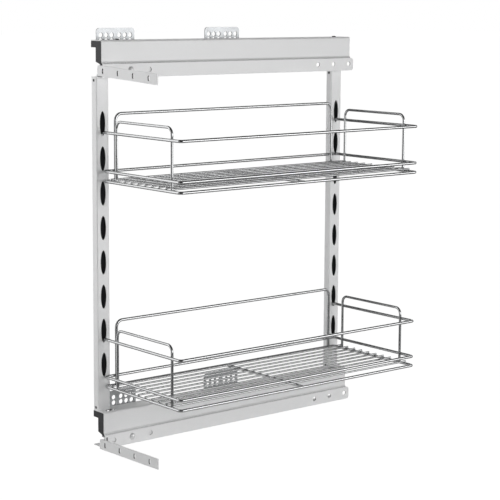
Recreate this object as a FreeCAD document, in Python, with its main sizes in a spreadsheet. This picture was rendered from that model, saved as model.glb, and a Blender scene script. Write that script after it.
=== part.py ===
import FreeCAD, Part
import math
import os
import Sketcher
from FreeCAD import Rotation, Vector

# Pull-out wire basket: a slotted frame on two telescopic slides, with two wire baskets hooked on its posts.
# +X runs back into the cabinet, +Y into the cabinet's side wall, +Z up. The frame pulls out along -X.
# The origin is on the face of the side wall, at the centre of the four screws that hold the unit.

doc = FreeCAD.newDocument("pull_out_basket")

# Driving dimensions, in millimetres, with the counts of what repeats.
SIZES = (
    ("rail_length", 475, "rail panel, front end to rear end"),
    ("rail_depth", 26.8, "rail flange, back edge to panel face"),
    ("rail_sheet", 1.2, "rail sheet thickness"),
    ("rail_bend", 3, "outer bend between flange and panel"),
    ("panel_height", 31.8, "rail top to the joggle's middle"),
    ("joggle_step", 2.4, "skirt face in front of panel face"),
    ("joggle_height", 3.4, "height of the slope between panel and skirt"),
    ("skirt_height", 21.2, "joggle's middle to rail bottom"),
    ("skirt_overhang", 6, "skirt past the panel at the rear end"),
    ("skirt_corner", 4, "rounding of the skirt's rear corners"),
    ("skirt_hole_radius", 3.5, "holes in the skirt"),
    ("skirt_hole_rise", 10.5, "rail bottom to the skirt's holes"),
    ("skirt_hole_pitch", 32.5, "spacing of the skirt's holes"),
    ("skirt_hole_count", 3, "holes at each end of the skirt"),
    ("front_hole_place", 16, "front end to the skirt's first hole"),
    ("rear_hole_place", 10, "skirt's rear end to its last hole"),
    ("tab_slot_width", 2.2, "narrow slot at the skirt's front end"),
    ("tab_slot_height", 6, "narrow slot at the skirt's front end"),
    ("tab_slot_place", 3.4, "front end to the narrow slot"),
    ("plug_radius", 2, "shank of a plug in the flange beside a post"),
    ("plug_head_radius", 2.9, "plug head"),
    ("plug_head_height", 1.5, "plug head"),
    ("front_plug_place", 23.5, "front post's middle to the plug, along the rail"),
    ("rear_plug_place", 10, "rear post's middle to the plug, along the rail"),
    ("plug_gap", 0.6, "post's face to the plug's head"),
    ("foot_slot_length", 16, "long hole in the flange beside a post"),
    ("foot_slot_width", 8, "long hole in the flange beside a post"),
    ("foot_slot_place", 6.5, "post's middle to the long hole's middle, along the rail"),
    ("foot_slot_gap", 1.4, "post's face to the long hole"),
    ("frame_gap", 1.1, "mounting plates to the back of the moving frame"),
    ("cap_depth", 5, "end cap, along the rail"),
    ("cap_bar_height", 10.5, "end cap's bar under the flange"),
    ("cap_leg_depth", 14, "end cap's leg behind the panel"),
    ("cap_leg_slant", 1.5, "fall of the leg's foot towards the skirt"),
    ("nose_recess", 0.3, "tongue's nose behind the skirt's face"),
    ("fit_gap", 0.1, "clearance of a piece that is pushed into its seat"),
    ("slide_depth", 13.2, "slide, cabinet side to panel"),
    ("slide_height", 35, "slide, across its flanges"),
    ("slide_top_gap", 0.4, "post screws' heads to the slide"),
    ("slide_front_gap", 1, "end cap to the slide's members"),
    ("slide_rear_gap", 29, "rail's rear end to the cabinet and middle member"),
    ("carriage_rear_gap", 9, "rail's rear end to the carriage member"),
    ("slide_sheet", 1.2, "sheet of the slide's members"),
    ("slide_running_gap", 0.4, "between the slide's nested webs"),
    ("cabinet_tip_gap", 2.5, "cabinet member's flanges to the carriage member"),
    ("middle_tip_gap", 1.5, "middle member's flanges to the carriage member"),
    ("pull_travel", 420, "pull-out travel"),
    ("ball_gap", 0.1, "between a ball and its track"),
    ("outer_ball_radius", 2, "balls between cabinet and middle member"),
    ("inner_ball_radius", 1.6, "balls between middle and carriage member"),
    ("outer_cage_gap", 0.3, "outer cage inside the cabinet member's flanges"),
    ("inner_cage_gap", 1.2, "inner cage to the carriage member"),
    ("cage_sheet", 0.6, "sheet of the ball cages"),
    ("cage_rim", 0.6, "cage outside a ball's hole"),
    ("cage_margin", 4, "cage kept inside its members at full travel"),
    ("ball_end", 6, "cage's end to its first ball"),
    ("ball_count", 8, "balls in a row"),
    ("plate_sheet", 1.5, "mounting plate thickness"),
    ("plate_margin", 7.5, "plate's outer column to its side"),
    ("plate_corner", 5, "rounding of the plate's top corners"),
    ("plate_pitch", 195, "front to rear mounting plate"),
    ("front_plate_place", 43, "rail's front end to the front plate's middle"),
    ("upper_plate_rise", 16.5, "plate above the upper rail"),
    ("lower_plate_rise", 22, "plate above the lower rail"),
    ("plate_jog_margin", 0.6, "plate's last row to its inward step"),
    ("plate_leg_reach", 9, "plate's leg below the slide's middle"),
    ("plate_hole_radius", 3.5, "holes in the plates"),
    ("plate_hole_pitch", 9.5, "columns within a group"),
    ("plate_column_count", 3, "columns in a group"),
    ("plate_row_count", 3, "rows of holes"),
    ("plate_group_gap", 13, "between the two groups of columns"),
    ("plate_row_pitch", 8.2, "rows of holes"),
    ("plate_row_drop", 10, "plate's top edge to its first row"),
    ("rivet_radius", 2, "plate rivet shank"),
    ("rivet_head_radius", 3.5, "plate rivet head"),
    ("rivet_head_height", 1.2, "plate rivet head"),
    ("rivet_spread", 40, "between the two rivets of a plate"),
    ("post_width", 21, "post, along the rail"),
    ("post_depth", 12.5, "post, away from the wall"),
    ("post_sheet", 1.2, "post wall"),
    ("post_corner", 1.6, "post outer corners"),
    ("post_length", 483, "post, rail to rail"),
    ("post_rear_gap", 4, "rail's rear end to the rear post"),
    ("slot_width", 9.5, "hook slot"),
    ("slot_length", 35, "hook slot"),
    ("slot_pitch", 50, "hook slot to hook slot"),
    ("last_slot_gap", 30, "least distance from the last slot to the post's foot"),
    ("first_slot_drop", 48, "post top to the first slot"),
    ("liner_sheet", 0.8, "plastic liner of a post"),
    ("spigot_height", 14, "block in a post's end"),
    ("screw_radius", 2.5, "post screw shank"),
    ("screw_clearance", 0.2, "post screw in the sheet"),
    ("screw_length", 10, "post screw in the spigot"),
    ("screw_head_radius", 4.5, "post screw head"),
    ("screw_head_height", 3, "post screw head"),
    ("grub_radius", 2, "grub screw"),
    ("grub_length", 6, "grub screw"),
    ("grub_socket", 1.1, "socket of the grub screw, radius"),
    ("grub_socket_depth", 2, "socket of the grub screw"),
    ("grub_place", 4, "post end to the grub screw"),
    ("bracket_sheet", 2, "door bracket thickness"),
    ("bracket_height", 15, "door bracket"),
    ("bracket_place", 21, "wall to the bracket's inner end"),
    ("bracket_leg_gap", 0.6, "rail's lower flange to the bracket's leg"),
    ("upper_bracket_rise", 3, "rail bottom up to the upper bracket's inner end"),
    ("upper_bracket_fall", 7, "fall of the upper bracket to its outer end"),
    ("lower_bracket_drop", 2, "rail bottom down to the lower bracket's inner end"),
    ("lower_bracket_lift", 2.4, "rise of the lower bracket to its outer end"),
    ("bracket_leg", 88, "bracket's leg behind the skirt"),
    ("bracket_leg_margin", 4.5, "bracket's leg above its rivet"),
    ("bracket_corner", 3, "rounding of the bracket's inner upper corner"),
    ("door_slot_width", 4, "slot for a door screw"),
    ("door_slot_length", 7.5, "slot for a door screw"),
    ("door_slot_pitch", 36.4, "door slot to door slot"),
    ("door_slot_place", 13.5, "bracket's inner end to the first slot"),
    ("door_slot_end", 19.3, "last slot to the bracket's outer end"),
    ("door_slot_count", 4, "slots in a bracket"),
    ("bracket_rivet_head", 5, "bracket rivet head, radius"),
    ("bracket_rivet_height", 2.4, "bracket rivet head"),
    ("bracket_rivet_foot", 1, "bracket rivet's set end"),
    ("ring_wire", 2.25, "radius of the basket's rail and ring wire"),
    ("loop_wire", 2, "radius of the side loops' wire"),
    ("floor_wire", 1.5, "radius of the floor's wires"),
    ("weld_bite", 0.1, "depth of a weld between two wires"),
    ("ring_depth", 180, "back rail to front rail"),
    ("ring_bend", 4.5, "rail and ring corners"),
    ("loop_bend", 10, "loop corners"),
    ("basket_gap", 0.4, "basket in front of the posts"),
    ("middle_ring_seat", 0.5, "lower hook's slot to the middle ring"),
    ("bottom_ring_drop", 14.2, "middle ring to bottom ring"),
    ("back_loop_rise", 26.5, "back loop above the top rail"),
    ("back_loop_inset", 16.25, "basket's side rail to the back loop's leg"),
    ("side_loop_rise", 16.8, "side loop above the top rail"),
    ("floor_count", 10, "wires of the floor"),
    ("rail_inset", 0.8, "slot's axis to the side rail's axis"),
    ("hook_bend", 3, "bend of the top rail's hooked ends"),
    ("hook_tail_gap", 0.3, "hook behind the post's face"),
    ("hook_drop", 7, "hook below the slot"),
    ("top_rail_seat", 5, "slot's lower end to the top rail"),
)

sheet = doc.addObject("Spreadsheet::Sheet", "Sizes")
for row, (alias, value, meaning) in enumerate(SIZES, start=1):
    sheet.set(f"A{row}", meaning)
    sheet.set(f"B{row}", str(value))
    sheet.setAlias(f"B{row}", alias)
doc.recompute()


class Amount:
    """A number together with the sheet formula that gives it."""

    def __init__(self, value, formula):
        self.value = value
        self.formula = formula

    def __add__(self, other):
        other = amount(other)
        return Amount(self.value + other.value, f"({self.formula} + {other.formula})")

    def __sub__(self, other):
        other = amount(other)
        return Amount(self.value - other.value, f"({self.formula} - {other.formula})")

    def __mul__(self, other):
        other = amount(other)
        return Amount(self.value * other.value, f"({self.formula} * {other.formula})")

    def __truediv__(self, other):
        other = amount(other)
        return Amount(self.value / other.value, f"({self.formula} / {other.formula})")

    def __neg__(self):
        return Amount(-self.value, f"(0 - {self.formula})")

    def floor(self):
        return Amount(math.floor(self.value), f"floor({self.formula})")

    def root(self):
        return Amount(math.sqrt(self.value), f"sqrt({self.formula})")

    def __radd__(self, other):
        return amount(other) + self

    def __rsub__(self, other):
        return amount(other) - self

    def __rmul__(self, other):
        return amount(other) * self


def amount(number):
    return number if isinstance(number, Amount) else Amount(float(number), f"({float(number)})")


class SheetSizes:
    """Reads a size from the sheet by its alias."""

    def __getattr__(self, alias):
        return Amount(float(sheet.get(alias)), f"Sizes.{alias}")


def counted(quantity):
    return range(int(quantity.value))


size = SheetSizes()
tolerance = 1e-4


# Document helpers.
def bind(thing, path, quantity):
    thing.setExpression(path, amount(quantity).formula)


def place(thing, x=0, y=0, z=0):
    for axis, quantity in (("x", x), ("y", y), ("z", z)):
        bind(thing, f"Placement.Base.{axis}", quantity)
    return thing


def new_body(label):
    body = doc.addObject("PartDesign::Body", label)
    body.Label = label
    return body


def origin_feature(body, role):
    return next(feature for feature in body.Origin.OriginFeatures if feature.Role == role)


def sketch_on(body, role, offset=0):
    sketch = body.newObject("Sketcher::SketchObject", "sketch")
    sketch.AttachmentSupport = (origin_feature(body, role), [""])
    sketch.MapMode = "FlatFace"
    bind(sketch, "AttachmentOffset.Base.z", offset)
    return sketch


def dimension(sketch, quantity, kind, *where):
    """Adds one dimension to a sketch and ties it to the sheet."""
    quantity = amount(quantity)
    index = sketch.addConstraint(Sketcher.Constraint(kind, *where, quantity.value))
    bind(sketch, f"Constraints[{index}]", quantity)


def pin(sketch, geometry, point, x, y):
    """Holds one point of a sketch at its distances from the sketch's origin."""
    dimension(sketch, x, "DistanceX", -1, 1, geometry, point)
    dimension(sketch, y, "DistanceY", -1, 1, geometry, point)


def outline(body, role, corners, offset=0):
    """A closed outline of straight edges."""
    sketch = sketch_on(body, role, offset)
    spots = [(amount(x), amount(y)) for x, y in corners]
    for (x1, y1), (x2, y2) in zip(spots, spots[1:] + spots[:1]):
        sketch.addGeometry(Part.LineSegment(Vector(x1.value, y1.value), Vector(x2.value, y2.value)))
    for index, (x, y) in enumerate(spots):
        sketch.addConstraint(Sketcher.Constraint("Coincident", (index - 1) % len(spots), 2, index, 1))
        pin(sketch, index, 1, x, y)
    return sketch


def rectangle(x1, y1, x2, y2):
    return [(x1, y1), (x2, y1), (x2, y2), (x1, y2)]


def circles(body, role, centres, radius, offset=0):
    sketch = sketch_on(body, role, offset)
    for index, (x, y) in enumerate(centres):
        centre = Vector(amount(x).value, amount(y).value)
        sketch.addGeometry(Part.Circle(centre, Vector(0, 0, 1), amount(radius).value))
        pin(sketch, index, 3, x, y)
        dimension(sketch, radius, "Radius", index)
    return sketch


def upright_oval(body, role, x, y, length, width, offset):
    """An ellipse with its long axis upright."""
    sketch = sketch_on(body, role, offset)
    x, y = amount(x), amount(y)
    along, across = Vector(0, amount(length).value / 2), Vector(-amount(width).value / 2, 0)
    centre = Vector(x.value, y.value)
    ellipse = sketch.addGeometry(Part.Ellipse(centre + along, centre + across, centre))
    sketch.exposeInternalGeometry(ellipse)
    long_line, short_line = ellipse + 1, ellipse + 2
    sketch.addConstraint(Sketcher.Constraint("Vertical", long_line))
    pin(sketch, ellipse, 3, x, y)
    dimension(sketch, length, "Distance", long_line)
    dimension(sketch, width, "Distance", short_line)
    return sketch


def upright_slots(body, role, centres, length, width):
    """Straight slots with round ends, upright in the sketch."""
    sketch = sketch_on(body, role)
    radius = amount(width) / 2
    reach = (amount(length) - amount(width)) / 2
    for x, y in centres:
        x, y = amount(x), amount(y)
        left, right = x - radius, x + radius
        low, high = y - reach, y + reach
        sides = []
        for start, end in (((left, low), (left, high)), ((right, high), (right, low))):
            spots = [Vector(a.value, b.value) for a, b in (start, end)]
            side = sketch.addGeometry(Part.LineSegment(*spots))
            pin(sketch, side, 1, *start)
            pin(sketch, side, 2, *end)
            sides.append(side)
        crowns = ((*sides, high, high + radius), (*reversed(sides), low, low - radius))
        for side, next_side, level, tip in crowns:
            arc = round_end(sketch, side, next_side, Vector(x.value, tip.value))
            dimension(sketch, level, "DistanceY", -1, 1, arc, 3)
    return sketch


def round_end(sketch, line, next_line, crown):
    """An arc from the end of one line to the start of the next, by way of its crown."""
    start, end = sketch.getPoint(line, 2), sketch.getPoint(next_line, 1)
    arc = sketch.addGeometry(Part.Arc(start, crown, end))
    first, second = (1, 2) if sketch.getPoint(arc, 1).distanceToPoint(start) < tolerance else (2, 1)
    sketch.addConstraint(Sketcher.Constraint("Coincident", arc, first, line, 2))
    sketch.addConstraint(Sketcher.Constraint("Coincident", arc, second, next_line, 1))
    return arc


def pad(body, sketch, length, both_ways=False):
    feature = body.newObject("PartDesign::Pad", "pad")
    feature.Profile = sketch
    feature.SideType = "Symmetric" if both_ways else "One side"
    bind(feature, "Length", length)


def cut_through(body, sketch):
    feature = body.newObject("PartDesign::Pocket", "cut")
    feature.Profile = sketch
    feature.SideType = "Symmetric"
    feature.Type = "ThroughAll"


def cut_depth(body, sketch, depth, reverse=False):
    feature = body.newObject("PartDesign::Pocket", "cut")
    feature.Profile = sketch
    feature.Reversed = reverse
    bind(feature, "Length", depth)
    return feature


def fillet(body, radius, chosen):
    """Rounds the edges of the body so far that the test picks."""
    doc.recompute()
    base = body.Tip
    names = [f"Edge{n}" for n, edge in enumerate(base.Shape.Edges, start=1) if chosen(edge)]
    feature = body.newObject("PartDesign::Fillet", "rounding")
    feature.Base = (base, names)
    bind(feature, "Radius", radius)


def edge_at(**coordinates):
    """A test for edges whose ends all lie at the given coordinates."""
    wanted = {axis.upper(): amount(quantity).value for axis, quantity in coordinates.items()}

    def chosen(edge):
        gaps = [getattr(end, axis) - value for axis, value in wanted.items() for end in edge.Vertexes]
        return all(abs(gap) < tolerance for gap in gaps)

    return chosen


def either(*tests):
    return lambda edge: any(test(edge) for test in tests)


def box(x1, y1, z1, x2, y2, z2):
    block = doc.addObject("Part::Box", "block")
    for path, low, high in (("Length", x1, x2), ("Width", y1, y2), ("Height", z1, z2)):
        bind(block, path, amount(high) - amount(low))
    return place(block, x1, y1, z1)


TURNS = {
    "X": Rotation(Vector(0, 1, 0), 90),
    "-Y": Rotation(Vector(1, 0, 0), 90),
    "Z": Rotation(),
    "-Z": Rotation(Vector(1, 0, 0), 180),
}


def rod(direction, x, y, z, length, radius):
    """A cylinder that starts at a point and runs along a direction."""
    cylinder = doc.addObject("Part::Cylinder", "rod")
    cylinder.Placement.Rotation = TURNS[direction]
    bind(cylinder, "Height", length)
    bind(cylinder, "Radius", radius)
    return place(cylinder, x, y, z)


def fuse(*pieces):
    joined = doc.addObject("Part::MultiFuse", "joined")
    joined.Shapes = list(pieces)
    return joined


def subtract(base, *tools):
    cut = doc.addObject("Part::Cut", "bored")
    cut.Base = base
    cut.Tool = tools[0] if len(tools) == 1 else fuse(*tools)
    return cut


def group(label, pieces):
    """Separate solids that share one node."""
    compound = doc.addObject("Part::Compound", label)
    compound.Label = label
    compound.Links = pieces
    return compound


def add_wire(body, role, corners, bend, wire_radius, section, offset=0, closed=False):
    """Round wire along a path of square corners. The section is its plane, offset and centre."""
    path = sketch_on(body, role, offset)
    spots = [(amount(x), amount(y)) for x, y in corners]
    bend = amount(bend)
    last = len(spots) - 1
    runs = list(zip(spots, spots[1:] + spots[:1])) if closed else list(zip(spots, spots[1:]))
    steps = []
    for number, ((x1, y1), (x2, y2)) in enumerate(runs):
        along_x = abs(x2.value - x1.value) > abs(y2.value - y1.value)
        sign = math.copysign(1, (x2.value - x1.value) if along_x else (y2.value - y1.value))
        from_bend = bend if closed or number > 0 else amount(0)
        to_bend = bend if closed or number + 1 < last else amount(0)
        step_x, step_y = (sign, 0) if along_x else (0, sign)
        start = (x1 + from_bend * step_x, y1 + from_bend * step_y)
        end = (x2 - to_bend * step_x, y2 - to_bend * step_y)
        line = path.addGeometry(
            Part.LineSegment(Vector(start[0].value, start[1].value), Vector(end[0].value, end[1].value))
        )
        pin(path, line, 1, *start)
        pin(path, line, 2, *end)
        steps.append((line, Vector(step_x, step_y)))
    turns = zip(steps, steps[1:] + steps[:1]) if closed else zip(steps, steps[1:])
    for (line, step), (next_line, next_step) in turns:
        centre = path.getPoint(line, 2) + next_step * bend.value
        outward = (step - next_step).normalize()
        arc = round_end(path, line, next_line, centre + outward * bend.value)
        dimension(path, bend, "Radius", arc)
    plane, section_offset, x, y = section
    profile = circles(body, plane, [(x, y)], wire_radius, section_offset)
    doc.recompute()
    pipe = body.newObject("PartDesign::AdditivePipe", "wire")
    pipe.Profile = profile
    pipe.Spine = (path, [f"Edge{n}" for n in range(1, len(path.Shape.Edges) + 1)])


def bent_wire(label, role, corners, bend, wire_radius, section, closed=False):
    body = new_body(label)
    add_wire(body, role, corners, bend, wire_radius, section, closed=closed)
    return body


# Places shared by several pieces. Depths from the wall run along -Y.
rail_height = size.panel_height + size.skirt_height
wall_gap = size.plate_sheet + size.frame_gap
rail_front = -(size.front_plate_place + size.plate_pitch / 2)
screw_height = rail_height + size.post_length + size.upper_plate_rise - size.lower_plate_rise
upper_rail_top = screw_height / 2 + size.plate_row_drop - size.upper_plate_rise
post_top = upper_rail_top - rail_height
post_foot = post_top - size.post_length
rails = (("upper", upper_rail_top), ("lower", post_foot))
panel_face = wall_gap + size.rail_depth
panel_back = panel_face - size.rail_sheet
skirt_face = panel_face + size.joggle_step
skirt_back = skirt_face - size.rail_sheet
post_face = wall_gap + size.post_depth
post_middle = wall_gap + size.post_depth / 2
front_post_middle = size.post_width / 2
post_pitch = size.rail_length - size.post_rear_gap - size.post_width
slide_back = panel_back - size.slide_depth
slide_front = size.cap_depth + size.slide_front_gap
slide_length = size.rail_length - slide_front - size.slide_rear_gap
slide_middle = -(size.rail_sheet + size.screw_head_height + size.slide_top_gap + size.slide_height / 2)
skirt_hole_level = size.skirt_hole_rise - rail_height
joggle_top = size.joggle_height / 2 - size.panel_height
joggle_foot = -size.joggle_height / 2 - size.panel_height
# A bent sheet keeps its thickness, so the bend's inner line lags behind the outer one.
joggle_slope = (size.joggle_step * size.joggle_step + size.joggle_height * size.joggle_height).root()
bend_lag = size.rail_sheet * (joggle_slope - size.joggle_height) / size.joggle_step
screw_hole_radius = size.screw_radius + size.screw_clearance
rivet_hole_place = size.front_hole_place + size.skirt_hole_pitch
plug_depth = post_face + size.plug_gap + size.plug_head_radius
rear_post_middle = front_post_middle + post_pitch
plug_places = (front_post_middle + size.front_plug_place, rear_post_middle - size.rear_plug_place)


# Rail cover: one folded sheet, with its own origin at the front end, on the wall's face, level with its top.
def rail_cover(label, rail_top, plugged):
    body = new_body(label)
    profile = outline(body, "YZ_Plane", [
        (-wall_gap, 0),
        (-panel_face, 0),
        (-panel_face, joggle_top),
        (-skirt_face, joggle_foot),
        (-skirt_face, -rail_height),
        (-wall_gap, -rail_height),
        (-wall_gap, size.rail_sheet - rail_height),
        (-skirt_back, size.rail_sheet - rail_height),
        (-skirt_back, joggle_foot - bend_lag),
        (-panel_back, joggle_top - bend_lag),
        (-panel_back, -size.rail_sheet),
        (-wall_gap, -size.rail_sheet),
    ])
    length = size.rail_length + size.skirt_overhang
    pad(body, profile, length)
    fillet(body, size.rail_bend, edge_at(y=-panel_face, z=0))
    fillet(body, size.rail_bend - size.rail_sheet, edge_at(y=-panel_back, z=-size.rail_sheet))
    step_back = outline(body, "XZ_Plane", rectangle(size.rail_length, joggle_foot, length, 0))
    cut_through(body, step_back)
    flange_end = outline(body, "XY_Plane", rectangle(size.rail_length, -skirt_back, length, -wall_gap))
    cut_through(body, flange_end)
    fillet(body, size.skirt_corner, edge_at(x=length, z=joggle_foot))
    fillet(body, size.skirt_corner, edge_at(x=length, z=-rail_height))
    rear_hole = length - size.rear_hole_place
    columns = [size.front_hole_place + size.skirt_hole_pitch * n for n in counted(size.skirt_hole_count)]
    columns += [rear_hole - size.skirt_hole_pitch * n for n in counted(size.skirt_hole_count)]
    holes = circles(body, "XZ_Plane", [(x, skirt_hole_level) for x in columns], size.skirt_hole_radius)
    cut_through(body, holes)
    tab_slot = outline(body, "XZ_Plane", rectangle(
        size.tab_slot_place - size.tab_slot_width / 2, skirt_hole_level,
        size.tab_slot_place + size.tab_slot_width / 2, skirt_hole_level + size.tab_slot_height,
    ))
    cut_through(body, tab_slot)
    posts = [front_post_middle, rear_post_middle]
    screw_holes = circles(body, "XY_Plane", [(x, -post_middle) for x in posts], screw_hole_radius)
    cut_through(body, screw_holes)
    end_radius = size.foot_slot_width / 2
    straight = size.foot_slot_length / 2 - end_radius
    slot_depth = post_face + size.foot_slot_gap + end_radius
    for middle in (front_post_middle + size.foot_slot_place, rear_post_middle - size.foot_slot_place):
        left, right = middle - straight, middle + straight
        run = rectangle(left, -(slot_depth + end_radius), right, end_radius - slot_depth)
        cut_depth(body, outline(body, "XY_Plane", run), size.rail_bend)
        ends = circles(body, "XY_Plane", [(left, -slot_depth), (right, -slot_depth)], end_radius)
        cut_depth(body, ends, size.rail_bend)
    if plugged:
        plug_holes = circles(body, "XY_Plane", [(x, -plug_depth) for x in plug_places], size.plug_radius)
        cut_depth(body, plug_holes, size.rail_bend)
    return place(body, rail_front, 0, rail_top)


parts = [rail_cover(f"{name}_rail_cover", rail_top, name == "upper") for name, rail_top in rails]


# End cap: a plug in the rail's front end, with a bar under the flange and a leg behind the panel. Its tongue
# snaps into the narrow slot of the skirt.
def end_cap(label, rail_top):
    body = new_body(label)
    top = -(size.rail_sheet + size.fit_gap)
    front = panel_back - size.fit_gap
    inner_foot = joggle_top - bend_lag - size.fit_gap
    outer_foot = inner_foot - size.joggle_height
    leg_back = front - size.cap_leg_depth
    profile = outline(body, "YZ_Plane", [
        (-wall_gap, top),
        (-front, top),
        (-front, inner_foot),
        (-(front + size.joggle_step), outer_foot),
        (-(front + size.joggle_step), outer_foot - size.cap_leg_slant),
        (-leg_back, inner_foot),
        (-leg_back, -size.cap_bar_height),
        (-wall_gap, -size.cap_bar_height),
    ])
    pad(body, profile, size.cap_depth)
    fillet(body, size.rail_bend - size.rail_sheet, edge_at(y=-front, z=top))
    tongue_back = skirt_back - size.bracket_sheet
    tongue_front = skirt_back - size.fit_gap
    nose_front = skirt_face - size.nose_recess
    nose_foot = skirt_hole_level + size.fit_gap
    nose_top = skirt_hole_level + size.tab_slot_height - size.fit_gap
    tongue_top = outer_foot - size.cap_leg_slant / 2
    half_width = size.tab_slot_width / 2 - size.fit_gap
    tongue = outline(body, "YZ_Plane", [
        (-tongue_back, nose_foot),
        (-nose_front, nose_foot),
        (-nose_front, nose_top),
        (-tongue_front, nose_top),
        (-tongue_front, tongue_top),
        (-tongue_back, tongue_top),
    ], size.tab_slot_place - half_width)
    pad(body, tongue, 2 * half_width)
    return place(body, rail_front, 0, rail_top)


parts += [end_cap(f"{name}_end_cap", rail_top) for name, rail_top in rails]

# Flange plugs: two small dark plugs in the upper rail's flange, with their heads on top of it.
plugs = []
for place_x in plug_places:
    x = rail_front + place_x
    shank = rod("-Z", x, -plug_depth, upper_rail_top, size.rail_sheet, size.plug_radius)
    head = rod("Z", x, -plug_depth, upper_rail_top, size.plug_head_height, size.plug_head_radius)
    plugs.append(fuse(shank, head))
parts.append(group("flange_plugs", plugs))


# Slide members: nested channels around the slide's middle height. The carriage member opens towards the wall.
half_height = size.slide_height / 2
outer_ball_level = half_height - size.slide_sheet - size.ball_gap - size.outer_ball_radius
middle_half = outer_ball_level - size.outer_ball_radius - size.ball_gap
inner_ball_level = middle_half - size.slide_sheet - size.ball_gap - size.inner_ball_radius
carriage_half = inner_ball_level - size.inner_ball_radius - size.ball_gap
outer_cage_back = slide_back + size.slide_sheet + size.slide_running_gap
middle_back = outer_cage_back + size.cage_sheet + size.slide_running_gap
inner_cage_back = middle_back + size.slide_sheet + size.slide_running_gap
carriage_tip = inner_cage_back + size.cage_sheet + size.slide_running_gap
carriage_web = panel_back - size.slide_sheet
cabinet_tip = carriage_web - size.cabinet_tip_gap
middle_tip = carriage_web - size.middle_tip_gap
outer_cage_tip = cabinet_tip - size.outer_cage_gap
inner_cage_tip = carriage_web - size.inner_cage_gap
plate_middles = (("front", size.front_plate_place), ("rear", size.front_plate_place + size.plate_pitch))


def channel(label, web, tip, half, thickness, length):
    """A channel with its web at one depth and its flanges' tips at another."""
    body = new_body(label)
    inside = web + thickness if tip.value > web.value else web - thickness
    profile = outline(body, "YZ_Plane", [
        (-web, half),
        (-tip, half),
        (-tip, half - thickness),
        (-inside, half - thickness),
        (-inside, thickness - half),
        (-tip, thickness - half),
        (-tip, -half),
        (-web, -half),
    ])
    pad(body, profile, length)
    return body


def slide_members(name, rail_top):
    gauge = size.slide_sheet
    cabinet = channel(f"{name}_cabinet_member", slide_back, cabinet_tip, half_height, gauge, slide_length)
    spread = size.rivet_spread / 2
    rivets = [(middle + side * spread - slide_front, 0) for end, middle in plate_middles for side in (-1, 1)]
    cut_through(cabinet, circles(cabinet, "XZ_Plane", rivets, size.rivet_radius))
    middle = channel(f"{name}_middle_member", middle_back, middle_tip, middle_half, gauge, slide_length)
    length = size.rail_length - slide_front - size.carriage_rear_gap
    carriage = channel(f"{name}_carriage_member", panel_back, carriage_tip, carriage_half, gauge, length)
    members = [cabinet, middle, carriage]
    return [place(member, rail_front + slide_front, 0, rail_top + slide_middle) for member in members]


for name, rail_top in rails:
    parts += slide_members(name, rail_top)


# Ball cages: thin channels between the members, with two rows of balls.
def ball_cage(label, back, tip, ball_depth, level, ball_radius):
    body = channel(label, back, tip, level + size.cage_sheet / 2, size.cage_sheet, cage_length)
    holes = [(first_ball + ball_pitch * n, -ball_depth) for n in counted(size.ball_count)]
    cut_through(body, circles(body, "XY_Plane", holes, ball_radius + size.ball_gap))
    return body


def cage_balls(label, ball_depth, level, ball_radius):
    balls = []
    for side in (1, -1):
        for number in counted(size.ball_count):
            ball = doc.addObject("Part::Sphere", "ball")
            bind(ball, "Radius", ball_radius)
            balls.append(place(ball, first_ball + ball_pitch * number, -ball_depth, level * side))
    return group(label, balls)


# At full travel the middle member has come half the way, the outer cage a quarter of it and the inner
# cage three quarters.
cage_length = slide_length - size.pull_travel / 2 - 2 * size.cage_margin
first_ball = size.ball_end
ball_pitch = (cage_length - 2 * size.ball_end) / (size.ball_count - 1)
cage_front = rail_front + slide_front + size.pull_travel / 4 + size.cage_margin
for name, rail_top in rails:
    for row, back, tip, level, radius in (
        ("outer", outer_cage_back, outer_cage_tip, outer_ball_level, size.outer_ball_radius),
        ("inner", inner_cage_back, inner_cage_tip, inner_ball_level, size.inner_ball_radius),
    ):
        depth = tip - size.cage_rim - size.ball_gap - radius
        cage = ball_cage(f"{name}_{row}_cage", back, tip, depth, level, radius)
        balls = cage_balls(f"{name}_{row}_balls", depth, level, radius)
        parts += [place(piece, cage_front, 0, rail_top + slide_middle) for piece in (cage, balls)]


# Mounting plates: a perforated face on the wall, a step inwards under the moving rail, and a leg on the
# cabinet member.
plate_columns = [
    size.plate_group_gap / 2 + size.plate_hole_pitch * n for n in counted(size.plate_column_count)
]
plate_half = plate_columns[-1] + size.plate_margin


def mounting_plate(label, middle, rail_top, rise):
    body = new_body(label)
    thickness = size.plate_sheet
    rows = [rise - size.plate_row_drop - size.plate_row_pitch * n for n in counted(size.plate_row_count)]
    jog = rows[-1] - size.plate_hole_radius - size.plate_jog_margin
    foot = slide_middle - size.plate_leg_reach
    profile = outline(body, "YZ_Plane", [
        (0, rise),
        (-thickness, rise),
        (-thickness, jog),
        (-slide_back, jog),
        (-slide_back, foot),
        (thickness - slide_back, foot),
        (thickness - slide_back, jog - thickness),
        (0, jog - thickness),
    ])
    pad(body, profile, 2 * plate_half, both_ways=True)
    fillet(body, size.plate_corner, either(edge_at(x=plate_half, z=rise), edge_at(x=-plate_half, z=rise)))
    field = [(side * x, z) for side in (-1, 1) for x in plate_columns for z in rows]
    cut_through(body, circles(body, "XZ_Plane", field, size.plate_hole_radius))
    rivets = [(side * size.rivet_spread / 2, slide_middle) for side in (-1, 1)]
    cut_through(body, circles(body, "XZ_Plane", rivets, size.rivet_radius))
    return place(body, rail_front + middle, 0, rail_top)


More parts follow.
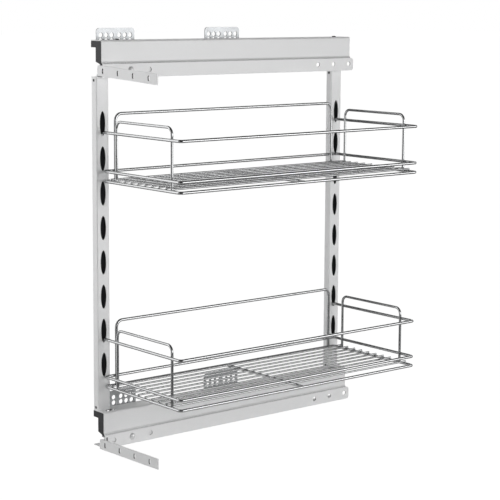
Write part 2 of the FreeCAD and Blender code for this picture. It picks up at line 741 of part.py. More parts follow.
plate_rises = {"upper": size.upper_plate_rise, "lower": size.lower_plate_rise}
plate_rivets = []
for name, rail_top in rails:
    for end, middle in plate_middles:
        parts.append(mounting_plate(f"{name}_{end}_plate", middle, rail_top, plate_rises[name]))
        for side in (-1, 1):
            x = rail_front + middle + side * size.rivet_spread / 2
            z = rail_top + slide_middle
            leg_back = size.plate_sheet - slide_back
            height = size.rivet_head_height
            head = rod("-Y", x, leg_back + height, z, height, size.rivet_head_radius)
            shank = rod("-Y", x, leg_back, z, size.plate_sheet + size.slide_sheet, size.rivet_radius)
            plate_rivets.append(fuse(head, shank))
parts.append(group("plate_rivets", plate_rivets))


# Posts: folded tubes with a column of oval slots in the face, and a grub screw hole near each end.
slot_room = size.post_length - size.first_slot_drop - size.slot_length - size.last_slot_gap
slot_count = (slot_room / size.slot_pitch).floor() + 1


def post(label, x):
    body = new_body(label)
    half = size.post_width / 2
    wall = size.post_sheet
    pad(body, outline(body, "XY_Plane", rectangle(-half, -post_face, half, -wall_gap)), size.post_length)
    corners = [edge_at(x=side * half, y=-depth) for side in (-1, 1) for depth in (post_face, wall_gap)]
    fillet(body, size.post_corner, either(*corners))
    bore = rectangle(wall - half, wall - post_face, half - wall, -(wall_gap + wall))
    cut_through(body, outline(body, "XY_Plane", bore))
    first_slot = size.post_length - size.first_slot_drop - size.slot_length / 2
    opening = upright_oval(body, "XZ_Plane", 0, first_slot, size.slot_length, size.slot_width, post_middle)
    slot = cut_depth(body, opening, size.post_depth, reverse=True)
    column = body.newObject("PartDesign::LinearPattern", "slots")
    column.Originals = [slot]
    column.Direction = (origin_feature(body, "Z_Axis"), [""])
    column.Reversed = True
    column.Mode = "Spacing"
    bind(column, "Offset", size.slot_pitch)
    bind(column, "Occurrences", slot_count)
    body.Tip = column
    grubs = [(-post_middle, z) for z in (size.grub_place, size.post_length - size.grub_place)]
    grub_holes = circles(body, "YZ_Plane", grubs, size.grub_radius + size.fit_gap)
    cut_depth(body, grub_holes, half + size.fit_gap)
    return place(body, rail_front + x, 0, post_foot)


post_places = (("front", front_post_middle), ("rear", rear_post_middle))
parts += [post(f"{end}_post", x) for end, x in post_places]


# Post liners: black channels that close the slots' background, between the blocks in the post's ends.
bore_half = size.post_width / 2 - size.post_sheet - size.fit_gap
bore_back = wall_gap + size.post_sheet + size.fit_gap
bore_front = post_face - size.post_sheet - size.fit_gap


def post_liner(label, x):
    body = new_body(label)
    thickness = size.liner_sheet
    half, back, front = bore_half, bore_back, bore_front
    profile = outline(body, "XY_Plane", [
        (-half, -front),
        (-half, -back),
        (half, -back),
        (half, -front),
        (half - thickness, -front),
        (half - thickness, -(back + thickness)),
        (thickness - half, -(back + thickness)),
        (thickness - half, -front),
    ])
    pad(body, profile, size.post_length - 2 * size.spigot_height)
    return place(body, rail_front + x, 0, post_foot + size.spigot_height)


parts += [post_liner(f"{end}_post_liner", x) for end, x in post_places]

# Post ends: a block in each end, a screw from inside the rail, and a grub screw through the post's side.
spigots, screws, grubs = [], [], []
for end, place_x in post_places:
    x = rail_front + place_x
    left = x - size.post_width / 2
    for seat, inwards, outwards, sign in ((post_top, "-Z", "Z", -1), (post_foot, "Z", "-Z", 1)):
        inner = seat + size.spigot_height * sign
        low, high = (inner, seat) if sign < 0 else (seat, inner)
        grub_level = seat + size.grub_place * sign
        block = box(x - bore_half, -bore_front, low, x + bore_half, -bore_back, high)
        screw_bore = rod(inwards, x, -post_middle, seat, size.spigot_height, size.screw_radius)
        grub_bore = rod("X", left, -post_middle, grub_level, size.grub_length, size.grub_radius)
        spigots.append(subtract(block, screw_bore, grub_bore))
        head_seat = seat - size.rail_sheet * sign
        reach = size.rail_sheet + size.screw_length
        shank = rod(inwards, x, -post_middle, head_seat, reach, size.screw_radius)
        head = rod(outwards, x, -post_middle, head_seat, size.screw_head_height, size.screw_head_radius)
        screws.append(fuse(shank, head))
        grub = rod("X", left, -post_middle, grub_level, size.grub_length, size.grub_radius)
        socket = rod("X", left, -post_middle, grub_level, size.grub_socket_depth, size.grub_socket)
        grubs.append(subtract(grub, socket))
parts += [group("post_spigots", spigots), group("post_screws", screws), group("post_grub_screws", grubs)]


# Door brackets: a slotted plate across the rail's front end, with a leg riveted behind the skirt.
def door_bracket(label, rail_top, low, fall):
    body = new_body(label)
    high = low + size.bracket_height
    inner = size.bracket_place
    first_slot = inner + size.door_slot_place
    outer = first_slot + size.door_slot_pitch * (size.door_slot_count - 1) + size.door_slot_end
    strip = [(-outer, low - fall), (-inner, low), (-inner, high), (-outer, high - fall)]
    pad(body, outline(body, "YZ_Plane", strip), size.bracket_sheet)
    fillet(body, size.bracket_corner, edge_at(y=-inner, z=high))
    leg_low = size.rail_sheet + size.bracket_leg_gap
    leg_high = size.skirt_hole_rise + size.bracket_leg_margin
    leg = rectangle(-skirt_back, leg_low, size.bracket_sheet - skirt_back, leg_high)
    pad(body, outline(body, "YZ_Plane", leg, size.bracket_sheet), size.bracket_leg)
    rivet_hole = [(size.bracket_sheet + rivet_hole_place, size.skirt_hole_rise)]
    cut_through(body, circles(body, "XZ_Plane", rivet_hole, size.skirt_hole_radius))
    tab_left = size.bracket_sheet + size.tab_slot_place - size.tab_slot_width / 2
    tab_slot = rectangle(tab_left, size.skirt_hole_rise, tab_left + size.tab_slot_width, leg_high)
    cut_depth(body, outline(body, "XZ_Plane", tab_slot, skirt_back), size.bracket_sheet)
    places = [first_slot + size.door_slot_pitch * n for n in counted(size.door_slot_count)]
    slope = fall / (outer - inner)
    centres = [(-place_u, (low + high) / 2 - slope * (place_u - inner)) for place_u in places]
    cut_through(body, upright_slots(body, "YZ_Plane", centres, size.door_slot_length, size.door_slot_width))
    return place(body, rail_front - size.bracket_sheet, 0, rail_top - rail_height)


bracket_slopes = {
    "upper": (size.upper_bracket_rise, size.upper_bracket_fall),
    "lower": (-size.lower_bracket_drop, -size.lower_bracket_lift),
}
parts += [door_bracket(f"{name}_door_bracket", rail_top, *bracket_slopes[name]) for name, rail_top in rails]


# Bracket rivets: a domed head on the skirt, a shank through skirt and leg, and a set end behind.
def bracket_rivet(rail_top):
    x, z = rail_front + rivet_hole_place, rail_top + skirt_hole_level
    leg_back = size.bracket_sheet - skirt_back
    height, rim = size.bracket_rivet_height, size.bracket_rivet_head
    dome_radius = (rim * rim + height * height) / (2 * height)
    dome = doc.addObject("Part::Sphere", "dome")
    bind(dome, "Radius", dome_radius)
    place(dome, x, dome_radius - height - skirt_face, z)
    cap = doc.addObject("Part::Common", "cap")
    cap.Base = dome
    cap.Tool = rod("-Y", x, -skirt_face, z, height, rim)
    shank_radius = size.skirt_hole_radius - size.fit_gap
    shank = rod("-Y", x, leg_back, z, size.bracket_sheet + size.rail_sheet, shank_radius)
    foot = rod("-Y", x, leg_back + size.bracket_rivet_foot, z, size.bracket_rivet_foot, rim)
    return fuse(cap, shank, foot)


parts.append(group("bracket_rivets", [bracket_rivet(rail_top) for name, rail_top in rails]))

# Basket wires: distances from the middle between the posts, from the wall, and down from the top rail.
basket_middle = rail_front + front_post_middle + post_pitch / 2
basket_half = post_pitch / 2 - size.rail_inset
rail_start = post_face + size.basket_gap
ring_back = rail_start + size.ring_wire
ring_front = ring_back + size.ring_depth
middle_ring_drop = size.top_rail_seat + size.slot_pitch + size.middle_ring_seat
bottom_level = -(middle_ring_drop + size.bottom_ring_drop)
floor_level = bottom_level + size.ring_wire + size.floor_wire - size.weld_bite
floor_gap = size.ring_depth / (size.floor_count + 1)
side_loop_place = basket_half - size.ring_wire - size.loop_wire + size.weld_bite
back_loop_depth = ring_back + 2 * size.ring_wire - size.weld_bite
tail_depth = post_face - size.post_sheet - size.hook_tail_gap - size.ring_wire
tail_foot = -(size.top_rail_seat + size.hook_drop)


def top_rail(label):
    """One wire round three sides. Its ends go through the posts' slots and turn down behind them."""
    corners = [
        (-basket_half, -rail_start),
        (-basket_half, -ring_front),
        (basket_half, -ring_front),
        (basket_half, -rail_start),
    ]
    section = ("XZ_Plane", rail_start, -basket_half, 0)
    body = bent_wire(label, "XY_Plane", corners, size.ring_bend, size.ring_wire, section)
    hook = [(-rail_start, 0), (-tail_depth, 0), (-tail_depth, tail_foot)]
    for x in (-basket_half, basket_half):
        section = ("XZ_Plane", rail_start, x, 0)
        add_wire(body, "YZ_Plane", hook, size.hook_bend, size.ring_wire, section, offset=x)
    return body


def ring(label):
    corners = [
        (-basket_half, -ring_front),
        (basket_half, -ring_front),
        (basket_half, -ring_back),
        (-basket_half, -ring_back),
    ]
    section = ("YZ_Plane", 0, -ring_front, 0)
    return bent_wire(label, "XY_Plane", corners, size.ring_bend, size.ring_wire, section, closed=True)


def back_loop(label):
    half = basket_half - size.back_loop_inset
    corners = [
        (-half, bottom_level),
        (-half, size.back_loop_rise),
        (half, size.back_loop_rise),
        (half, bottom_level),
    ]
    section = ("XY_Plane", bottom_level, -half, 0)
    return bent_wire(label, "XZ_Plane", corners, size.loop_bend, size.ring_wire, section)


def side_loop(label):
    inset = floor_gap + floor_gap / 2
    near = ring_back + inset
    far = ring_front - inset
    corners = [
        (-near, bottom_level),
        (-near, size.side_loop_rise),
        (-far, size.side_loop_rise),
        (-far, bottom_level),
    ]
    section = ("XY_Plane", bottom_level, 0, -near)
    return bent_wire(label, "YZ_Plane", corners, size.loop_bend, size.loop_wire, section)


def floor_wires(label):
    reach = basket_half + size.floor_wire / 2
    depths = [ring_back + floor_gap * (n + 1) for n in counted(size.floor_count)]
    wires = [rod("X", -reach, -depth, floor_level, 2 * reach, size.floor_wire) for depth in depths]
    return group(label, wires)


def cross_wire(label):
    inset = size.ring_wire - size.weld_bite
    length = size.ring_depth - 2 * inset
    wire = rod("-Y", 0, -(ring_back + inset), bottom_level, length, size.ring_wire)
    return group(label, [wire])


# The upper basket hangs on the posts' first slots, and the lower basket on the last slots but one.
for name, steps in (("upper", amount(0)), ("lower", slot_count - 2)):
    slot_bottom = post_top - size.first_slot_drop - size.slot_length - size.slot_pitch * steps
    rail_level = slot_bottom + size.top_rail_seat
    ring_level = rail_level - middle_ring_drop
    for piece, x, y, z in (
        (top_rail(f"{name}_top_rail"), 0, 0, rail_level),
        (ring(f"{name}_middle_ring"), 0, 0, ring_level),
        (ring(f"{name}_bottom_ring"), 0, 0, rail_level + bottom_level),
        (back_loop(f"{name}_back_loop"), 0, -back_loop_depth, rail_level),
        (side_loop(f"{name}_left_loop"), -side_loop_place, 0, rail_level),
        (side_loop(f"{name}_right_loop"), side_loop_place, 0, rail_level),
        (floor_wires(f"{name}_floor_wires"), 0, 0, rail_level),
        (cross_wire(f"{name}_cross_wire"), 0, 0, rail_level),
    ):
        parts.append(place(piece, basket_middle + x, y, z))

# Every object is rebuilt and checked, and each piece is written to its own file.
doc.recompute()
for thing in doc.Objects:
    if {"Invalid", "Error"} & set(thing.State):
        raise RuntimeError(f"{thing.Label} did not rebuild: {thing.State}")
os.makedirs("parts", exist_ok=True)
for part in parts:
    if part.Shape.isNull() or not part.Shape.isValid() or not part.Shape.Solids:
        raise RuntimeError(f"{part.Label} has no sound solid")
    part.Shape.exportStep(f"parts/{part.Label}.step")
print(len(parts), "pieces written")
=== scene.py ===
import bmesh
import bpy
import math
from mathutils import Matrix, Vector


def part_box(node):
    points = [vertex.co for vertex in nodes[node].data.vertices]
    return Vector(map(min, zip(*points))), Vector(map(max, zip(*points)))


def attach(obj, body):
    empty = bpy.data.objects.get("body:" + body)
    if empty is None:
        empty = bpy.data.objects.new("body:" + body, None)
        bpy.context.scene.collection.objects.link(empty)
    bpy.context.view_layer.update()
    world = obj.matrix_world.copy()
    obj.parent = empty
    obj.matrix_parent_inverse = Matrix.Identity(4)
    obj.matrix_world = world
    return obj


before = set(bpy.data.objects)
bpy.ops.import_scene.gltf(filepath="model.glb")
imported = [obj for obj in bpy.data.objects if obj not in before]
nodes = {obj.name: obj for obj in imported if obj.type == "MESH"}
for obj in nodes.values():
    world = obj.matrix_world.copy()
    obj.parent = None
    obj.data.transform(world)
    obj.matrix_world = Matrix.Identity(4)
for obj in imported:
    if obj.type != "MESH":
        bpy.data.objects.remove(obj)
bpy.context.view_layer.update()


# Mounting plates, their rivets and the post screws: perforated plates, screwed to the cabinet's side wall.
# Pressed from zinc-plated strip, each with a leg riveted to the fixed member of a slide.
# The zinc has a faint crystal pattern, rolling marks, and brighter pressed edges, with painted shade on the
# walls of its holes.
class Signal:
    """A socket in a finish's node tree. Sums and products of signals add Math nodes to the tree."""

    def __init__(self, tree, socket=None):
        self.tree = tree
        self.socket = socket

    def node(self, kind, settings=None, inputs=None, output=0):
        """Adds a node: its settings first, then the values or links of its sockets."""
        made = self.tree.nodes.new(kind)
        for name, value in (settings or {}).items():
            setattr(made, name, value)
        for name, value in (inputs or {}).items():
            if isinstance(value, Signal):
                self.tree.links.new(value.socket, made.inputs[name])
            else:
                made.inputs[name].default_value = value
        return Signal(self.tree, made.outputs[output] if made.outputs else None)

    def maths(self, operation, first, second):
        return self.node("ShaderNodeMath", {"operation": operation}, {0: first, 1: second})

    def __add__(self, other):
        return self.maths("ADD", self, other)

    def __sub__(self, other):
        return self.maths("SUBTRACT", self, other)

    def __mul__(self, other):
        return self.maths("MULTIPLY", self, other)

    def __radd__(self, other):
        return self.maths("ADD", other, self)

    def __rsub__(self, other):
        return self.maths("SUBTRACT", other, self)

    def __rmul__(self, other):
        return self.maths("MULTIPLY", other, self)

    def above(self, level):
        return self.maths("MAXIMUM", self, level)

    def below(self, level):
        return self.maths("MINIMUM", self, level)


def new_finish(name):
    finish = bpy.data.materials.new(name)
    finish.use_nodes = True
    finish.node_tree.nodes.clear()
    return finish, Signal(finish.node_tree)


def place_on(start):
    """Where a point lies on the piece, in metres."""
    return start.node("ShaderNodeTexCoord", output="Object")


def grain(start, per_metre, detail=2.0, stretch=(1, 1, 1)):
    """Noise on the piece's own coordinates, drawn out along an axis whose stretch is under 1."""
    scaled = {"Vector": place_on(start), "Scale": stretch}
    turned = start.node("ShaderNodeMapping", {"vector_type": "POINT"}, scaled)
    noise = {"Vector": turned, "Scale": per_metre, "Detail": detail}
    return start.node("ShaderNodeTexNoise", {}, noise)


def crystals(start, per_metre):
    """Flat cells of one grey each, as in zinc or in the flakes of a metal lacquer."""
    spread = {"Vector": place_on(start), "Scale": per_metre}
    cells = start.node("ShaderNodeTexVoronoi", {"feature": "F1"}, spread, "Color")
    return start.node("ShaderNodeSeparateXYZ", {}, {"Vector": cells})


def soft_edges(start, reach):
    """The surface direction with the sheet's edges rounded, for light to catch."""
    return start.node("ShaderNodeBevel", {"samples": 4}, {"Radius": reach})


def sheltered(start, reach):
    """1 in a narrow hole or corner of the piece itself, and 0 on its open faces."""
    settings = {"samples": 8, "only_local": True}
    return 1 - start.node("ShaderNodeAmbientOcclusion", settings, {"Distance": reach}, "AO")


def punched(start, axis, face, sheet):
    """1 on the walls of the holes through a sheet, which lie between its two faces: the mask for painted
    shade there.
    """
    depth = start.node("ShaderNodeSeparateXYZ", {}, {"Vector": place_on(start)}, axis) - face
    skin, reach, gain = 0.0001, 0.008, 14.0
    inside = depth.maths("GREATER_THAN", depth, skin) * depth.maths("LESS_THAN", depth, sheet - skin)
    return inside * (sheltered(start, reach) * gain).below(1)


def alike(start, first, second):
    """How far two directions agree: 1 for the same one, and 0 for a right angle between them."""
    pair = {0: first, 1: second}
    return start.node("ShaderNodeVectorMath", {"operation": "DOT_PRODUCT"}, pair, "Value")


def edge_mask(start, rounded):
    """1 on an edge and 0 on a flat, from how far the rounded direction leaves the true one."""
    flat = start.node("ShaderNodeNewGeometry", output="Normal")
    edge_gain = 8.0
    return ((1 - alike(start, rounded, flat)) * edge_gain).below(1)


def blend_colours(start, share, first, second):
    """The first colour where the share is 0 and the second where it is 1, on the node's colour sockets."""
    share_in, first_in, second_in, colour_out = 0, 6, 7, 2
    colours = {share_in: share, first_in: first, second_in: second}
    return start.node("ShaderNodeMix", {"data_type": "RGBA"}, colours, colour_out)


def coat(finish, start, varying, constants):
    """Closes a finish with its shader. What varies is linked, and the constants are set on the sockets."""
    shader = start.node("ShaderNodeBsdfPrincipled", {}, {**constants, **varying})
    start.node("ShaderNodeOutputMaterial", {}, {"Surface": shader})
    return finish


def bump(start, height, depth, rounded=None):
    relief = {"Height": height, "Distance": depth, "Strength": 1.0}
    if rounded is not None:
        relief["Normal"] = rounded
    return start.node("ShaderNodeBump", {}, relief)


def dress(finish, *names):
    for name in names:
        for held in nodes[name].material_slots:
            held.material = finish


def zinc_finish():
    finish, start = new_finish("zinc_plate")
    dark, pale = (0.36, 0.37, 0.38, 1), (0.45, 0.46, 0.47, 1)
    pressed_edge, hole_wall_shade = (0.60, 0.61, 0.62, 1), (0.05, 0.05, 0.052, 1)
    spangle_share, rolling_share, edge_share = 0.6, 0.4, 0.3
    smooth, spangle_haze, dull_haze, edge_polish = 0.30, 0.08, 0.12, 0.08
    plate_sheet, edge_radius, rolling_depth = 0.0015, 0.00025, 0.00001
    spangle = crystals(start, per_metre=260)
    rolling = grain(start, per_metre=500, detail=3, stretch=(0.03, 1, 1))
    dulled = grain(start, per_metre=18)
    rounded = soft_edges(start, edge_radius)
    edges = edge_mask(start, rounded)
    # Painted shade on the walls of the holes, darkest where they are most enclosed.
    walls = punched(start, axis=1, face=-plate_sheet, sheet=plate_sheet)
    pattern = (spangle * spangle_share + rolling * rolling_share).below(1)
    colour = blend_colours(start, pattern, dark, pale)
    colour = blend_colours(start, edges * edge_share, colour, pressed_edge)
    colour = blend_colours(start, walls, colour, hole_wall_shade)
    varying = {
        "Base Color": colour,
        "Roughness": smooth + spangle * spangle_haze + dulled * dull_haze - edges * edge_polish,
        "Normal": bump(start, rolling, rolling_depth, rounded),
    }
    return coat(finish, start, varying, {"Metallic": 1.0})


ends, tiers = ("front", "rear"), ("upper", "lower")
plates = [f"{tier}_{end}_plate" for tier in tiers for end in ends]
dress(zinc_finish(), "plate_rivets", "post_screws", *plates)


# Slides: three nested channels a side, cold rolled from bright zinc-plated steel, running on caged balls.
# The outer one is riveted to the plates, the inner one to the back of the rail cover.
# The rolled steel shows long fine lines along the slide and a thin film of grease.
def slide_finish():
    finish, start = new_finish("slide_steel")
    dark, pale = (0.48, 0.485, 0.495, 1), (0.60, 0.605, 0.615, 1)
    rolled_edge, edge_share = (0.72, 0.725, 0.735, 1), 0.4
    smooth, line_haze, grease_haze = 0.3, 0.1, 0.14
    edge_radius, line_depth = 0.0004, 0.000008
    drawn = grain(start, per_metre=900, detail=3, stretch=(0.01, 1, 1))
    greased = grain(start, per_metre=30)
    rounded = soft_edges(start, edge_radius)
    edges = edge_mask(start, rounded)
    colour = blend_colours(start, drawn, dark, pale)
    varying = {
        "Base Color": blend_colours(start, edges * edge_share, colour, rolled_edge),
        "Roughness": smooth + drawn * line_haze + greased * grease_haze,
        "Normal": bump(start, drawn, line_depth, rounded),
    }
    return coat(finish, start, varying, {"Metallic": 1.0})


slide_pieces = ("cabinet_member", "middle_member", "carriage_member", "outer_cage", "inner_cage")
dress(slide_finish(), *(f"{tier}_{piece}" for tier in tiers for piece in slide_pieces))


# Balls: hardened and polished steel balls in the cages, with a smear of grease.
# They are loose in the cage's holes and roll between two members.
def ball_finish():
    finish, start = new_finish("ball_steel")
    dark, pale = (0.55, 0.55, 0.56, 1), (0.74, 0.74, 0.76, 1)
    polished, smear_haze = 0.06, 0.14
    smear = grain(start, per_metre=220)
    varying = {
        "Base Color": blend_colours(start, smear, dark, pale),
        "Roughness": polished + smear * smear_haze,
    }
    return coat(finish, start, varying, {"Metallic": 1.0})


dress(ball_finish(), *(f"{tier}_{row}_balls" for tier in tiers for row in ("outer", "inner")))


# Rail covers, posts and door brackets: folded steel sheet with a satin silver lacquer.
# The covers are screwed to the posts' ends and carry the brackets, each on a coated rivet, in front.
# The lacquer has fine flakes and paler folds, from wear and a painted highlight; punched walls and narrow
# insides get painted shade.
def silver_finish(name, axis=None, face=0, sheet=0, metallic=0.15):
    finish, start = new_finish(name)
    dark, pale = (0.78, 0.782, 0.785, 1), (0.86, 0.862, 0.865, 1)
    fold_wear_and_highlight, inner_shade_colour = (0.90, 0.902, 0.905, 1), (0.03, 0.03, 0.032, 1)
    edge_share, edge_radius, peel_depth = 0.35, 0.0006, 0.000012
    satin, handled_haze, flake_haze, edge_polish = 0.38, 0.1, 0.05, 0.06
    flakes = crystals(start, per_metre=4500)
    peel = grain(start, per_metre=1300)
    handled = grain(start, per_metre=11, detail=3)
    rounded = soft_edges(start, edge_radius)
    edges = edge_mask(start, rounded)
    colour = blend_colours(start, flakes, dark, pale)
    # Folds and edges go paler, from the lacquer wearing thin and as a painted highlight.
    colour = blend_colours(start, edges * edge_share, colour, fold_wear_and_highlight)
    # Painted shade: narrow insides of the sheet, found by occlusion, and the walls of punched holes turn
    # near black.
    if axis is not None:
        inner_reach, open_share, gain = 0.06, 0.4, 5.0
        inner = ((sheltered(start, inner_reach) - open_share) * gain).above(0).below(1)
        painted_shade_mask = punched(start, axis, face, sheet).above(inner)
        colour = blend_colours(start, painted_shade_mask, colour, inner_shade_colour)
    varying = {
        "Base Color": colour,
        "Roughness": satin + handled * handled_haze + flakes * flake_haze - edges * edge_polish,
        "Normal": bump(start, peel, peel_depth, rounded),
    }
    return coat(finish, start, varying, {"Metallic": metallic})


rail_sheet, bracket_sheet = 0.0012, 0.002
skirt_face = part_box("upper_rail_cover")[0][1]
bracket_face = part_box("upper_door_bracket")[0][0]
dress(silver_finish("post_coat"), "front_post", "rear_post")
dress(silver_finish("rivet_coat", metallic=0.6), "bracket_rivets")
rail_coat = silver_finish("rail_coat", axis=1, face=skirt_face, sheet=rail_sheet)
bracket_coat = silver_finish("bracket_coat", axis=0, face=bracket_face, sheet=bracket_sheet)
for tier in tiers:
    dress(rail_coat, f"{tier}_rail_cover")
    dress(bracket_coat, f"{tier}_door_bracket")


# End caps, plugs, post liners and spigots: moulded from dark plastic and pushed into the rails and posts.
# The mould leaves a fine spark grain, and rubbed edges go a little paler.
def plastic_finish():
    finish, start = new_finish("dark_plastic")
    dark, pale = (0.030, 0.030, 0.033, 1), (0.050, 0.050, 0.054, 1)
    rubbed_edge, edge_share = (0.10, 0.10, 0.105, 1), 0.4
    matt, spark_haze = 0.48, 0.16
    edge_radius, spark_depth = 0.0005, 0.00003
    spark = grain(start, per_metre=1800)
    rubbed = grain(start, per_metre=45, detail=3)
    rounded = soft_edges(start, edge_radius)
    edges = edge_mask(start, rounded)
    colour = blend_colours(start, rubbed, dark, pale)
    varying = {
        "Base Color": blend_colours(start, edges * edge_share, colour, rubbed_edge),
        "Roughness": matt + spark * spark_haze,
        "Normal": bump(start, spark, spark_depth, rounded),
    }
    return coat(finish, start, varying, {"Specular IOR Level": 0.4})


# The post liners are black strips behind the posts' slots; besides lining the posts, they stand in for the
# shade inside them.
dress(
    plastic_finish(), "post_spigots", "flange_plugs",
    *(f"{tier}_end_cap" for tier in tiers), *(f"{end}_post_liner" for end in ends),
)


# Grub screws: small socket screws with a black oxide skin, through the posts' front sides.
# The oxide is a little uneven and worn bright on the socket's rim.
def oxide_finish():
    finish, start = new_finish("black_steel")
    dark, pale = (0.018, 0.018, 0.02, 1), (0.045, 0.045, 0.048, 1)
    worn_rim, rim_share = (0.2, 0.2, 0.21, 1), 0.5
    smooth, skin_haze = 0.34, 0.16
    edge_radius, skin_depth = 0.0003, 0.00001
    skin = grain(start, per_metre=900, detail=3)
    rounded = soft_edges(start, edge_radius)
    edges = edge_mask(start, rounded)
    colour = blend_colours(start, skin, dark, pale)
    varying = {
        "Base Color": blend_colours(start, edges * rim_share, colour, worn_rim),
        "Roughness": smooth + skin * skin_haze,
        "Normal": bump(start, skin, skin_depth, rounded),
    }
    return coat(finish, start, varying, {"Metallic": 0.6})


dress(oxide_finish(), "post_grub_screws")


# Basket wires: drawn steel wire, bent, welded and then bright chrome plated.
# The floor's thin wires lie on the bottom ring, and the top rail's ends hook into the posts' slots.
# The chrome is mirror bright, with a faint waviness from the drawn wire and a thin haze.
def chrome_finish():
    finish, start = new_finish("chrome_wire")
    dark, pale = (0.50, 0.505, 0.51, 1), (0.58, 0.585, 0.59, 1)
    bright, haze_gain, wave_depth = 0.15, 0.08, 0.000008
    drawn = grain(start, per_metre=160)
    haze = grain(start, per_metre=28, detail=3)
    varying = {
        "Base Color": blend_colours(start, haze, dark, pale),
        "Roughness": bright + haze * haze_gain,
        "Normal": bump(start, drawn, wave_depth),
    }
    return coat(finish, start, varying, {"Metallic": 1.0})


wire_pieces = (
    "top_rail", "middle_ring", "bottom_ring", "back_loop", "left_loop", "right_loop",
    "floor_wires", "cross_wire",
)
chrome = chrome_finish()
dress(chrome, *(f"{tier}_{piece}" for tier in tiers for piece in wire_pieces))


# Welds: where two wires cross they are pressed together hot and sink into each other a little.
# Each crossing has a small flat bead of upset steel around it, plated with the wires.
def weld_beads(tier):
    ring_wire, loop_wire, floor_wire, sink = 0.00225, 0.002, 0.0015, 0.00005
    bead, flat, floor_count = 0.0019, 0.5, 10
    along_x, along_y, along_z = range(3)
    low, high = (Vector(corner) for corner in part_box(f"{tier}_bottom_ring"))
    ring_low, ring_high = low + Vector((ring_wire,) * 3), high - Vector((ring_wire,) * 3)
    bottom, middle = ring_low.z, (ring_low.x + ring_high.x) / 2
    ring_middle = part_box(f"{tier}_middle_ring")[0][along_z] + ring_wire
    rail_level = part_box(f"{tier}_top_rail")[1][along_z] - ring_wire
    shape = bmesh.new()

    def bead_at(place, pressed):
        """A bead, flat along the axis in which the wires are pressed together."""
        squash = Vector((1, 1, 1))
        squash[pressed] = flat
        spot = Matrix.Translation(place) @ Matrix.Diagonal(squash).to_4x4()
        bmesh.ops.create_icosphere(shape, subdivisions=2, radius=bead, matrix=spot)

    first, last = (corner[along_y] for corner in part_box(f"{tier}_floor_wires"))
    pitch = (last - first - 2 * floor_wire) / (floor_count - 1)
    for number in range(floor_count):
        depth = first + floor_wire + pitch * number
        for across in (ring_low.x, middle, ring_high.x):
            bead_at((across, depth, bottom + ring_wire - sink), along_z)
    for depth in (ring_low.y + ring_wire, ring_high.y - ring_wire):
        bead_at((middle, depth, bottom), along_y)
    back_low, back_high = (corner[along_x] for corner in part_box(f"{tier}_back_loop"))
    for across in (back_low + ring_wire, back_high - ring_wire):
        for level in (bottom, ring_middle):
            bead_at((across, ring_high.y - ring_wire + sink, level), along_y)
    side_low, side_high = (corner[along_y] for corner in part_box(f"{tier}_left_loop"))
    for across in (ring_low.x + ring_wire - sink, ring_high.x - ring_wire + sink):
        for depth in (side_low + loop_wire, side_high - loop_wire):
            for level in (bottom, ring_middle, rail_level):
                bead_at((across, depth, level), along_x)
    mesh = bpy.data.meshes.new(f"{tier}_basket_welds")
    shape.to_mesh(mesh)
    shape.free()
    mesh.shade_smooth()
    mesh.materials.append(chrome)
    welds = bpy.data.objects.new(mesh.name, mesh)
    bpy.context.scene.collection.objects.link(welds)
    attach(welds, f"{tier}_basket")


for tier in tiers:
    weld_beads(tier)


# Floor: a wide studio floor below the hanging unit, pale near the unit, which takes its soft shadow.
# It shows white to the camera. In the chrome it is pale, then dark, then pale again farther out, with
# dark patches round the lens and behind the unit on the left.
def ramp(start, value, zero_at, one_at):
    """Goes smoothly from 0 at the first value to 1 at the second."""
    limits = {"Value": value, "From Min": zero_at, "From Max": one_at}
    return start.node("ShaderNodeMapRange", {"interpolation_type": "SMOOTHSTEP"}, limits)


def room_patch(start, towards, direction, edge, core):
    """1 in the core of a patch of the room, and 0 beyond its edge, both as angles from its middle."""
    zero_at, one_at = (math.cos(math.radians(angle)) for angle in (edge, core))
    return ramp(start, alike(start, towards, direction), zero_at, one_at)


def dark_patches(start, towards):
    lens = room_patch(start, towards, direction=(-0.59, -0.80, 0), edge=44, core=30)
    left = room_patch(start, towards, direction=(-0.76, 0.65, 0), edge=34, core=23)
    return lens.above(left)


def studio_floor():
    level, size = -0.75, 40.0
    pale_reach, dark_reach, glow_reach, shade_room = 0.9, 1.7, 3.5, 0.16
    near_share, far_share, bounced_share = 0.15, 0.5, 0.85
    far_paint, near_paint, white = (0.12, 0.12, 0.12, 1), (0.6, 0.6, 0.6, 1), (1, 1, 1, 1)
    shape = bmesh.new()
    bmesh.ops.create_grid(shape, x_segments=1, y_segments=1, size=size)
    bmesh.ops.translate(shape, verts=shape.verts, vec=(0, 0, level))
    mesh = bpy.data.meshes.new("studio_floor")
    shape.to_mesh(mesh)
    shape.free()
    floor = bpy.data.objects.new("studio_floor", mesh)
    bpy.context.scene.collection.objects.link(floor)
    finish, start = new_finish("studio_floor")
    seen = start.node("ShaderNodeLightPath", output="Is Camera Ray")
    bounced = start.node("ShaderNodeLightPath", output="Is Diffuse Ray")
    mirrored = start.node("ShaderNodeLightPath", output="Is Glossy Ray")
    where = place_on(start)
    away = start.node("ShaderNodeVectorMath", {"operation": "LENGTH"}, {0: where}, "Value")
    near = ramp(start, away, dark_reach, pale_reach)
    far = ramp(start, away, dark_reach, glow_reach)
    towards = start.node("ShaderNodeVectorMath", {"operation": "NORMALIZE"}, {0: where})
    mirrored_level = near * near_share + far * (1 - dark_patches(start, towards)) * far_share
    glow_level = (seen * (1 - near * shade_room)).above(mirrored * mirrored_level)
    glow_level = glow_level.above(bounced * near * bounced_share)
    colour = blend_colours(start, near, far_paint, near_paint)
    paint = start.node("ShaderNodeBsdfDiffuse", {}, {"Color": colour})
    glow = start.node("ShaderNodeEmission", {}, {"Color": white, "Strength": glow_level})
    both = start.node("ShaderNodeAddShader", {}, {0: paint, 1: glow})
    start.node("ShaderNodeOutputMaterial", {}, {"Surface": both})
    mesh.materials.append(finish)


studio_floor()


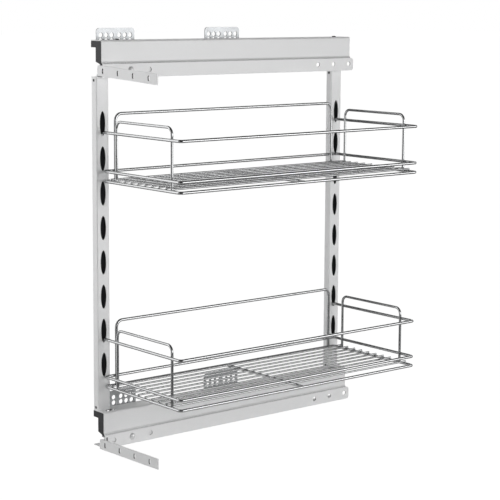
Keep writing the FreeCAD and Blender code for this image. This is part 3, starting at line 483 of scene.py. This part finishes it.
# Studio light: a white room with a high screen behind, dark overhead, round the lens and behind on the left,
# so that the chrome has dark lines. A wide lamp stands close on the left and a larger one in front on the
# right. A fill lamp by the camera and one overhead aren't mirrored. The camera itself sees plain white.
def wide_lamp(name, place, width, height, energy, mirrored=True):
    middle_of_unit = Vector((0.05, -0.1, 0))
    lamp = bpy.data.lights.new(name, "AREA")
    lamp.shape = "RECTANGLE"
    lamp.size, lamp.size_y, lamp.energy = width, height, energy
    stand = bpy.data.objects.new(name, lamp)
    stand.location = place
    stand.rotation_euler = (middle_of_unit - Vector(place)).to_track_quat("-Z", "Y").to_euler()
    stand.visible_camera, stand.visible_glossy = False, mirrored
    bpy.context.scene.collection.objects.link(stand)


def studio_light():
    bright, overhead_loss, patch_loss, white = 0.95, 0.92, 0.95, (1, 1, 1, 1)
    world = bpy.data.worlds.new("studio")
    bpy.context.scene.world = world
    world.use_nodes = True
    world.node_tree.nodes.clear()
    start = Signal(world.node_tree)
    towards = start.node("ShaderNodeTexCoord", output="Generated")
    overhead = room_patch(start, towards, direction=(0, 0, 1), edge=86, core=62)
    screen = room_patch(start, towards, direction=(0.59, 0.79, 0.17), edge=34, core=18)
    level = (1 - overhead * overhead_loss) * (1 - dark_patches(start, towards) * patch_loss)
    level = level.above(screen) * bright
    seen = start.node("ShaderNodeLightPath", output="Is Camera Ray")
    room = start.node("ShaderNodeBackground", {}, {"Color": white, "Strength": level.above(seen)})
    start.node("ShaderNodeOutputWorld", {}, {"Surface": room})
    wide_lamp("left_lamp", place=(-0.62, 0.36, 0.2), width=0.6, height=1.3, energy=3.6)
    wide_lamp("front_lamp", place=(0.85, -1.7, 0.1), width=1.6, height=0.9, energy=11.5)
    wide_lamp("fill_lamp", place=(-1.2, -1.6, 0.3), width=0.8, height=0.8, energy=8.0, mirrored=False)
    wide_lamp("top_lamp", place=(0.1, -0.3, 3.0), width=1.2, height=1.2, energy=18.0, mirrored=False)


studio_light()


# Camera: a long lens at the photograph's place and angle, a little above the unit's top.
# It looks slightly down, with the picture shifted so that the unit is framed as in the photograph.
def studio_camera():
    place = (-1.405235, -1.889988, 0.315247)
    turn, tilt, roll = math.radians(39.545), math.radians(-7.51), math.radians(0.331)
    focus_pixels, picture_width, sensor, shift = 1589.7, 500, 36, -0.08
    lens = bpy.data.cameras.new("camera")
    lens.sensor_width = sensor
    lens.lens = focus_pixels / picture_width * sensor
    lens.shift_y = shift
    lens.clip_start, lens.clip_end = 0.05, 60
    camera = bpy.data.objects.new("camera", lens)
    camera.location = place
    camera.rotation_euler = (math.pi / 2 + tilt, 0, -turn)
    camera.rotation_euler.rotate_axis("Z", roll)
    bpy.context.scene.collection.objects.link(camera)
    bpy.context.scene.camera = camera


studio_camera()
bpy.context.scene.view_settings.view_transform = "Standard"
